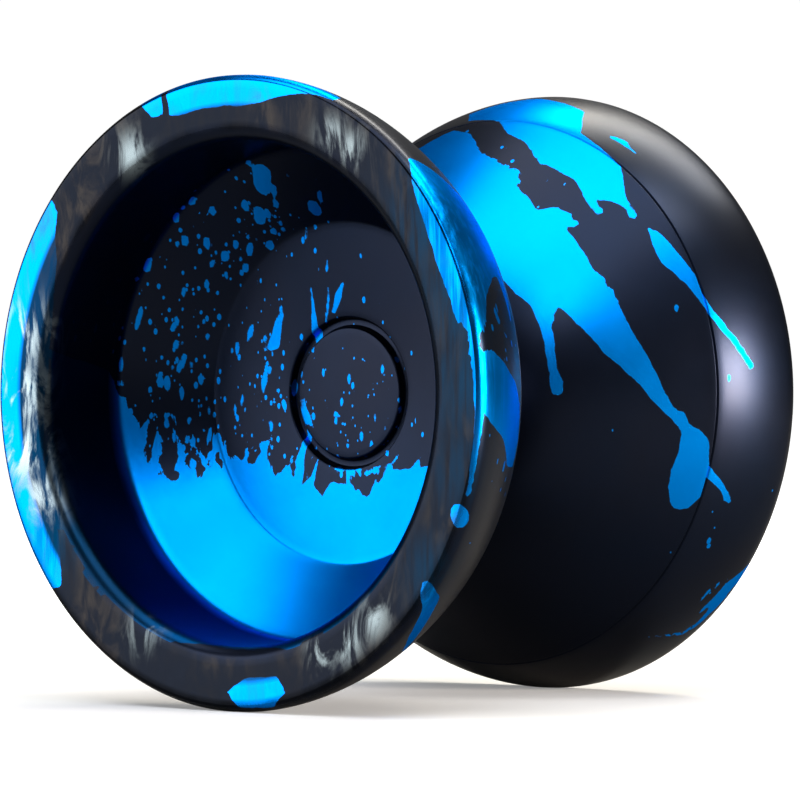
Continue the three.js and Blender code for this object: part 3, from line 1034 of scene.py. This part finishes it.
# ---- Balls ----
# Ten lapped chrome steel balls. Each is mirror bright but for the hair-fine track that its raceways have rolled
# into it and a trace of oil.

ball_steel = ground_steel("lapped_ball_steel", (0.6, 0.61, 0.63, 1), (0.74, 0.74, 0.75, 1), 0.02, 0.07, oil=0.2)
quarter_steps = 14
ball_outline = []
for k in range(2 * quarter_steps + 1):
    turn = math.pi / 2 - math.pi * k / (2 * quarter_steps)
    flat = 0.0015 if abs(k - quarter_steps) < 2 else 0
    ball_outline.append(Vector(((BALL_RADIUS - flat) * math.cos(turn), (BALL_RADIUS - flat) * math.sin(turn))))
for i in range(10):
    ball = spun(f"ball_{i + 1:02d}_lapped", ball_outline, 56, ring=False)
    turn = 2 * math.pi * i / 10
    ball.location = (PITCH * math.cos(turn) * MM, 0, PITCH * math.sin(turn) * MM)
    ball.rotation_euler = (0.7 * i, 0.4 + i, 0)
    ball.data.materials.append(ball_steel)
    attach(ball, f"ball_{i + 1:02d}")
    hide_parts(f"ball_{i + 1:02d}")

# ---- Cage ----
# A crown pressed from one strip of steel: a thin ring on the front side, with ten horned pockets that snap over the
# balls and keep them apart.


def make_cage():
    band = [
        (4.45, -1.35, 0.05),
        (4.45, 0.65, 0.05),
        (5.02, 0.65, 0.05),
        (5.02, -1.35, 0.05),
    ]
    crown = spun("cage_crown", spaced(rounded(band), 0.2, closed=True), 300, ring=True)
    pocket_radius = BALL_RADIUS + 0.1
    quarter = [math.pi / 2 - math.pi * k / 32 for k in range(33)]
    pocket_outline = [Vector((pocket_radius * math.cos(turn), pocket_radius * math.sin(turn))) for turn in quarter]
    pocket = spun("pockets", pocket_outline, 64, ring=False)
    work = bmesh.new()
    for i in range(10):
        turn = 2 * math.pi * i / 10
        before = len(work.verts)
        work.from_mesh(pocket.data)
        work.verts.ensure_lookup_table()
        shift = Vector((PITCH * math.cos(turn) * MM, 0, PITCH * math.sin(turn) * MM))
        bmesh.ops.translate(work, verts=work.verts[before:], vec=shift)
    work.to_mesh(pocket.data)
    cut = crown.modifiers.new("pockets", "BOOLEAN")
    cut.operation = "DIFFERENCE"
    cut.solver = "EXACT"
    cut.object = pocket
    graph = bpy.context.evaluated_depsgraph_get()
    pressed = bpy.data.meshes.new_from_object(crown.evaluated_get(graph))
    crown.modifiers.clear()
    crown.data = pressed
    pressed.shade_smooth()
    pressed.set_sharp_from_angle(angle=math.radians(35))
    bpy.data.objects.remove(pocket, do_unlink=True)
    return crown


cage = make_cage()
cage_steel = ground_steel("pressed_cage_steel", (0.34, 0.29, 0.2, 1), (0.52, 0.45, 0.32, 1), 0.2, 0.22, oil=0.35)
cage.data.materials.append(cage_steel)
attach(cage, "ball_cage")
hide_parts("ball_cage")

# ---- Bearing's outer race ----
# The ring the string's loop sits on: the same ground steel, with a shallow dish that keeps the string in the
# middle of the gap, and a seat and a slot at each end for a shield and its snap ring.

dish_radius = (1.95**2 + 0.22**2) / (2 * 0.22)
dish_turn = math.asin(1.95 / dish_radius)
string_dish = []
for k in range(25):
    turn = -dish_turn + 2 * dish_turn * k / 24
    string_dish.append((6.35 - 0.22 + dish_radius * (1 - math.cos(turn)), dish_radius * math.sin(turn), 0))
outer_groove = raceway(PITCH + BALL_RADIUS + 0.045 - RACEWAY, 5.4, opens_out=True)
shield_seat = [
    (5.4, 1.78, 0.04),
    (5.98, 1.78, 0.03),
    (5.98, 2.01, 0.01),
    (6.1, 2.01, 0.01),
    (6.1, 2.27, 0.01),
    (5.98, 2.27, 0.01),
    (5.98, BEARING_SIDE, 0.04),
    (6.35, BEARING_SIDE, 0.12),
]
outer_race = spun_ring(
    "outer_race_ring",
    [
        *outer_groove,
        *shield_seat,
        *string_dish[::-1],
        *((radius, -y, fillet) for radius, y, fillet in reversed(shield_seat)),
    ],
    300,
    0.25,
)
outer_race.data.materials.append(race_steel)
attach(outer_race, "string_race")
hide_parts("bearing_outer_race")

# ---- Shields and their snap rings ----
# A shield is a disc stamped from thin stainless sheet, its inner edge turned in to keep lint off the balls. A flat
# spring ring with a gap at the bottom sits in the outer race's slot and holds the shield on its seat.


def make_shield(name, mirror):
    stamped = [
        (4.25, 1.5, 0.07),
        (4.25, 1.85, 0.16),
        (4.37, 1.975, 0.1),
        (5.3, 1.975, 0.05),
        (5.36, 1.945, 0.05),
        (5.44, 1.945, 0.05),
        (5.5, 1.975, 0.05),
        (5.93, 1.975, 0.05),
        (5.93, 1.8, 0.05),
        (4.53, 1.8, 0.1),
        (4.43, 1.5, 0.07),
    ]
    return spun_ring(name, stamped, 240, 0.12, mirror)


def make_snap_ring(name, mirror):
    wire = rounded([(5.6, 2.045, 0.05), (5.6, 2.235, 0.05), (6.035, 2.235, 0.05), (6.035, 2.045, 0.05)])
    opening = math.radians(34)
    steps = 220
    side = -1 if mirror else 1
    places = []
    for k in range(steps + 1):
        clock = math.pi + opening / 2 + (2 * math.pi - opening) * k / steps
        nearest_end = min(k, steps - k) / steps * (2 * math.pi - opening) * 5.8
        nip = 1 - 0.35 * max(0, 1 - nearest_end / 0.25) ** 2  # the cut ends are tumbled round
        for point in wire:
            radius = 5.82 + (point.x - 5.82) * nip
            y = 2.14 + (point.y - 2.14) * nip
            places.append((radius * math.sin(clock) * MM, side * y * MM, radius * math.cos(clock) * MM))
    count = len(wire)
    faces = []
    for k in range(steps):
        for i in range(count):
            following = (i + 1) % count
            low, high = k * count, (k + 1) * count
            faces.append([low + i, low + following, high + following, high + i])
    faces += [list(range(count)), list(range(steps * count, (steps + 1) * count))]
    mesh = bpy.data.meshes.new(name)
    mesh.from_pydata(places, [], faces)
    work = bmesh.new()
    work.from_mesh(mesh)
    bmesh.ops.recalc_face_normals(work, faces=work.faces)
    work.to_mesh(mesh)
    mesh.shade_smooth()
    mesh.set_sharp_from_angle(angle=math.radians(50))
    ring = bpy.data.objects.new(name, mesh)
    bpy.context.collection.objects.link(ring)
    return ring


shield_steel = ground_steel("stamped_shield_steel", (0.4, 0.4, 0.41, 1), (0.56, 0.56, 0.55, 1), 0.2, 0.3)
for end, mirror in (("front", True), ("rear", False)):
    shield = make_shield(f"{end}_shield_stamping", mirror)
    snap_ring = make_snap_ring(f"{end}_snap_ring_wire", mirror)
    for piece, node in ((shield, f"{end}_shield"), (snap_ring, f"{end}_snap_ring")):
        piece.data.materials.append(shield_steel)
        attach(piece, "string_race")
        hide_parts(node)

# ---- Rear pad ----
# The same moulded ring as the front one, pressed into the rear half's groove.

rear_pad = make_pad("rear_pad_mould", mirror=False)
rear_pad.data.materials.append(pad_silicone)
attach(rear_pad, "rear_pad")
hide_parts("rear_pad")

# ---- Rear half ----
# The same turning, seen from the string's side. Blue was thrown over its catch zone from the top and ran down and
# round it, with one long run that crosses onto the band.

rear_half, rear_outline = make_half("rear_half_shell", mirror=False)
rear = Splash(rear_half, rear_outline, seed=5)
# The lower sheet, from the left of its top edge and back along its lower edge, and the long run that it ends in.
rear.fill(
    (-26, 51),
    (-11, 50),
    (-5, 51),
    (1, 53.5),
    (12, 55),
    (18, 55.5),
    (20, 57),
    (29, 58),
    (32, 57),
    (38, 56),
    (41, 57.5),
    (54, 58),
    (66, 57),
    (68, 61),
    (60, 62),
    (60, 64),
    (50, 65),
    (35, 65.5),
    (0, 66),
    (-30, 64),
)
rear.pour([(66, 59.3, 2.1), (75, 58.2, 1.8), (82, 56.8, 1.3), (91, 54.9, 0.75), (98, 52.5, 0.2)])
# A run that hangs from it into the gap's flank, with a bead at its end.
rear.pour(
    [(58, 63.6, 0.8), (66, 64.1, 0.55), (74, 64.3, 0.42), (82, 64.1, 0.36), (87, 63.9, 0.56), (89, 63.9, 0.5)],
    [(57, 62.2, 0.8), (62, 63.0, 0.24), (64, 63.2, 0.2)],
)
# The upper sheet, which starts on the band and ends in two beads.
rear.fill(
    (-12, 46),
    (-6, 44),
    (0, 43),
    (9, 44),
    (16, 45),
    (22, 48.5),
    (35, 49.5),
    (43, 51.5),
    (44, 52),
    (40, 53),
    (36, 54),
    (30, 53.5),
    (20, 53.5),
    (12, 52),
    (6, 51),
    (0, 49),
    (-8, 48.5),
)
rear.pour(
    [(36, 53.6, 0.5), (39.6, 54.2, 0.3), (41, 54.2, 0.36)],
    [(42, 52.0, 0.5), (44.8, 51.9, 0.3), (46.8, 52.1, 0.46)],
    [(34, 57.2, 0.7), (39, 57.0, 0.4), (40.5, 56.6, 0.42)],
)
# The leaf and the thin run that it leaves across the crease.
rear.pour(
    [
        (51.5, 51.4, 0.2),
        (55, 51.2, 0.7),
        (60, 51, 0.9),
        (65, 50.4, 0.7),
        (70, 49.6, 0.4),
        (77, 48, 0.32),
        (85, 45.6, 0.28),
    ],
)
# The drop at the end of the long run, and the run that leaves it over the crease.
rear.fill(
    (98, 52.6),
    (97, 51.8),
    (98, 51.0),
    (100, 50.0),
    (103, 49.7),
    (107, 49.6),
    (111, 49.2),
    (115, 50.0),
    (116, 51.0),
    (115, 52.0),
    (112, 52.7),
    (108, 52.8),
    (103, 52.4),
)
rear.pour(
    [(95, 52.9, 0.5), (98, 52.2, 0.3), (101, 51.4, 0.6)],
    [(105.5, 49.8, 0.5), (107.5, 48.3, 0.36), (110, 47.0, 0.3), (111.4, 46.5, 0.36)],
    [(27, 46.9, 0.2), (30, 46.6, 0.42), (34, 46.7, 0.15)],
    [(124, 40.0, 0.5), (129, 41.4, 0.7), (134, 42.0, 0.4), (137, 42.6, 0.16)],
    [(132, 41.2, 0.4), (139, 41.4, 0.34), (143, 42.0, 0.3), (147, 45.4, 0.12)],
    [(127, 42.6, 0.1), (131, 43.4, 0.26), (136, 43.8, 0.1)],
    [(67, 52.6, 0.1)],
    [(71, 51.2, 0.14)],
    [(78, 52.2, 0.1)],
    [(81, 50.7, 0.14)],
)
for layer, clock, along, reach, strength in (
    ("shower", 72, 53, 6, 0.07),
    ("shower", 20, 55, 5, 0.12),
    ("shower", 120, 48, 6, 0.05),
    ("shower", -60, 52, 14, 0.2),
    ("lace", 16, 55.6, 2.4, 0.26),
    ("lace", 4, 53.4, 1.8, 0.14),
    ("lace", 60, 57.6, 2.2, 0.16),
):
    rear.spread(layer, clock, along, reach, strength)
rear.keep()
rear_half.data.materials.append(anodised)
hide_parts("rear_half")
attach(rear_half, "rear_half")

# ---- Floor and lights ----
# A flat floor that glows to the camera, more away from the yo-yo than close to it, so that it looks white; one large
# soft light overhead and towards the viewer, and five more softboxes round and above it.

FLOOR_Z = cad_box[0].z
floor_mesh = bpy.data.meshes.new("floor")
reach = 3.0
floor_mesh.from_pydata(
    [(-reach, -reach, FLOOR_Z), (reach, -reach, FLOOR_Z), (reach, reach, FLOOR_Z), (-reach, reach, FLOOR_Z)],
    [],
    [(0, 1, 2, 3)],
)
floor = bpy.data.objects.new("floor", floor_mesh)
bpy.context.collection.objects.link(floor)
floor_paint = bpy.data.materials.new("floor")
tree, add, link = nodes_of(floor_paint)
paint = add("ShaderNodeBsdfPrincipled")
paint.inputs["Roughness"].default_value = 0.9
paint.inputs["Emission Color"].default_value = (1, 1, 1, 1)
seen = add("ShaderNodeLightPath").outputs["Is Camera Ray"]
cloudy = add("ShaderNodeTexNoise", Scale=3, Detail=2)
shade = colour_mix(tree, add, link, cloudy.outputs["Fac"], (0.57, 0.59, 0.63, 1), (0.59, 0.61, 0.65, 1))
shade = colour_mix(tree, add, link, seen, (0.2, 0.2, 0.2, 1), shade)
away = add("ShaderNodeVectorMath", operation="LENGTH")
link(add("ShaderNodeTexCoord").outputs["Object"], away.inputs[0])
glow = ramp(add, link, away.outputs["Value"], 0.05, 0.3, 0.22, 1.1)
link(number(tree, add, link, "MULTIPLY", glow, seen), paint.inputs["Emission Strength"])
link(shade, paint.inputs["Base Color"])
link(paint.outputs[0], add("ShaderNodeOutputMaterial").inputs["Surface"])
floor_mesh.materials.append(floor_paint)

world = bpy.data.worlds.new("studio")
bpy.context.scene.world = world
world.use_nodes = True
backdrop = world.node_tree.nodes["Background"]
backdrop.inputs["Color"].default_value = (1, 1, 1, 1)
from_camera = world.node_tree.nodes.new("ShaderNodeLightPath")
level = world.node_tree.nodes.new("ShaderNodeMapRange")
level.inputs["To Min"].default_value = 0.1
level.inputs["To Max"].default_value = 1.02
world.node_tree.links.new(from_camera.outputs["Is Camera Ray"], level.inputs["Value"])
world.node_tree.links.new(level.outputs["Result"], backdrop.inputs["Strength"])


def softbox(name, place, aim, size, power, colour=(1, 1, 1)):
    light = bpy.data.objects.new(name, bpy.data.lights.new(name, "AREA"))
    bpy.context.collection.objects.link(light)
    light.data.shape = "RECTANGLE"
    light.data.size, light.data.size_y = size
    light.data.energy = power
    light.data.color = colour
    light.location = place
    light.rotation_euler = (Vector(aim) - Vector(place)).to_track_quat("-Z", "Y").to_euler()
    return light


softbox("overhead", (0.0, -0.2, 0.55), (0, 0, 0), (0.7, 0.5), 3.5)
softbox("left_front", (-0.4, -0.52, 0.1), (0, 0, 0), (0.45, 0.4), 1.8)
softbox("right_front", (0.26, -0.4, 0.36), (0, 0, 0), (0.16, 0.16), 0.45)
softbox("right_side", (0.6, 0.07, 0.02), (0, 0, 0), (0.12, 0.28), 12.5, (1, 0.84, 0.68))
softbox("top_back", (-0.05, 0.33, 0.5), (0, 0, 0), (0.5, 0.16), 3.3, (1, 0.92, 0.74))
softbox("top_right", (0.25, 0.04, 0.54), (0, 0, 0), (0.2, 0.2), 1.1, (1, 0.93, 0.8))
